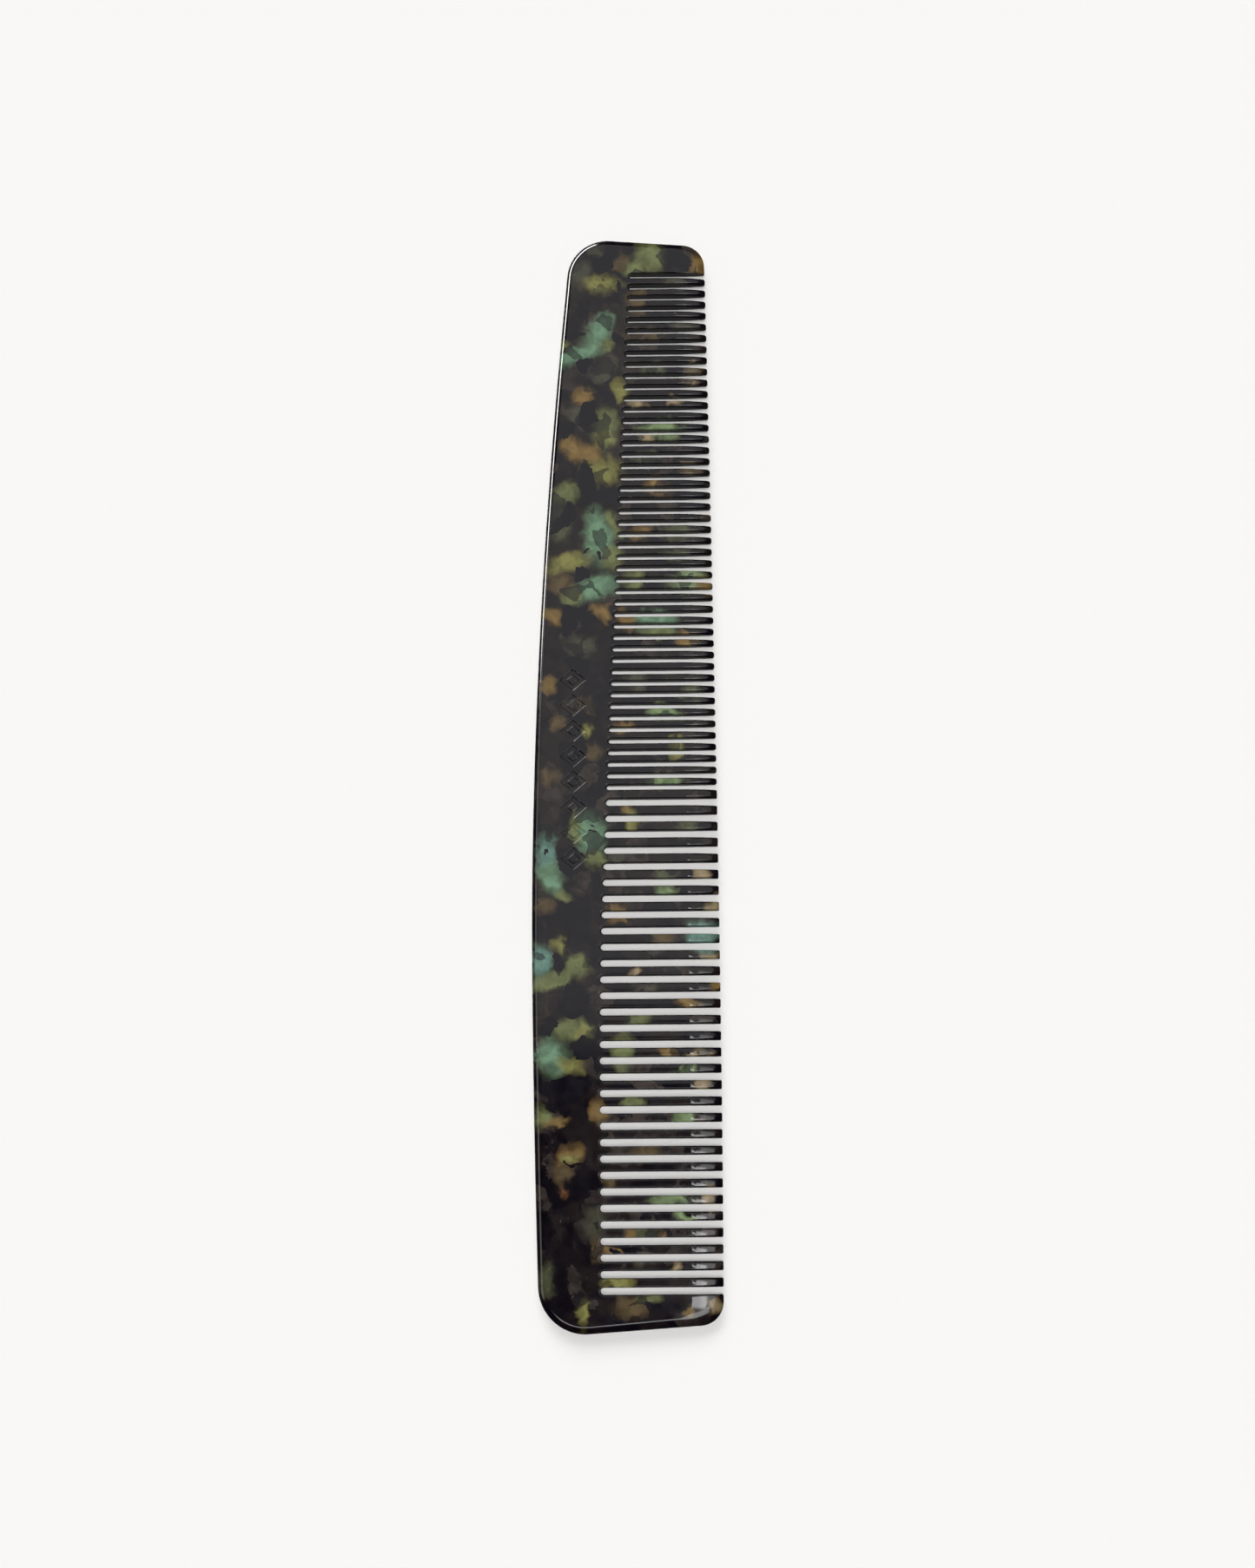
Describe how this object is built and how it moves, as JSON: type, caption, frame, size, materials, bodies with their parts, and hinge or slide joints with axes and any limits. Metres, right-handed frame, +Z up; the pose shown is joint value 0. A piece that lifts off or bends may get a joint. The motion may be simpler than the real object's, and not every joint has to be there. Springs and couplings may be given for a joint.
{
  "type": "hair comb",
  "caption": "Flat one-piece dressing comb: fine teeth on one half, coarse on the other, rounded back and ends, tooth tips bevelled thin for parting and combing hair.",
  "frame": {"origin": "centre of the comb's footprint, on the face that it lies on", "axes": "+X from the back to the tooth tips, +Y along the comb towards the fine, narrower end, +Z up through the thickness"},
  "size_m": [0.032, 0.1888, 0.0035],
  "materials": {
    "acetate": "polished tortoiseshell cellulose acetate, near-black flakes over amber, olive and green patches"
  },
  "bodies": {
    "root": {"fine_back": "acetate", "coarse_back": "acetate", "fine_end_guard": "acetate", "coarse_end_guard": "acetate", "fine_teeth": "acetate", "coarse_teeth": "acetate"}
  },
  "joints": []
}
